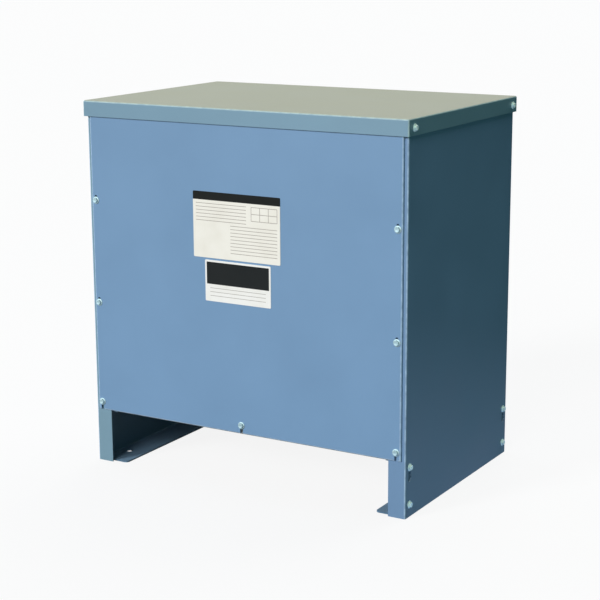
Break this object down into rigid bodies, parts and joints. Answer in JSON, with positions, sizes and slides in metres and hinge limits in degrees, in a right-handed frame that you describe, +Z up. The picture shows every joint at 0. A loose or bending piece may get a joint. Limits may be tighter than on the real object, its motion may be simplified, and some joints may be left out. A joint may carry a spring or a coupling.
{
  "type": "power transformer",
  "caption": "Floor-standing dry-type power transformer: core and windings in a painted folded-sheet enclosure with a lipped cover, screwed panels, foot flanges and an open underside.",
  "frame": {"origin": "on the floor, under the centre of the cover", "axes": "+Z up; the front panel faces -Y; +X to the right, seen from the front"},
  "size_m": [0.762, 0.508, 0.788],
  "materials": {
    "enclosure_paint": "satin baked enamel",
    "frame_steel": "galvanised",
    "core_steel": "varnished laminations",
    "inner_winding": "varnished insulation",
    "outer_winding": "varnished insulation",
    "insulating_block": "glass polyester board",
    "isolator_rubber": "moulded",
    "zinc_screw": "bright zinc plate",
    "printed_plate": "printed film"
  },
  "bodies": {
    "root": {"centre_coil_blocks": "insulating_block", "centre_core_leg": "core_steel", "centre_duct_sticks": "insulating_block", "centre_inner_winding": "inner_winding", "centre_outer_winding": "outer_winding", "front_core_support": "frame_steel", "front_left_isolator": "isolator_rubber", "front_lower_clamp": "frame_steel", "front_panel": "enclosure_paint", "front_rail": "frame_steel", "front_right_isolator": "isolator_rubber", "front_upper_clamp": "frame_steel", "left_base_channel": "enclosure_paint", "left_coil_blocks": "insulating_block", "left_core_leg": "core_steel", "left_duct_sticks": "insulating_block", "left_inner_winding": "inner_winding", "left_outer_winding": "outer_winding", "left_side_panel": "enclosure_paint", "lower_yoke": "core_steel", "rear_core_support": "frame_steel", "rear_left_isolator": "isolator_rubber", "rear_lower_clamp": "frame_steel", "rear_panel": "enclosure_paint", "rear_rail": "frame_steel", "rear_right_isolator": "isolator_rubber", "rear_upper_clamp": "frame_steel", "right_base_channel": "enclosure_paint", "right_coil_blocks": "insulating_block", "right_core_leg": "core_steel", "right_duct_sticks": "insulating_block", "right_inner_winding": "inner_winding", "right_outer_winding": "outer_winding", "right_side_panel": "enclosure_paint", "top_cover": "enclosure_paint", "upper_yoke": "core_steel"}
  },
  "joints": []
}
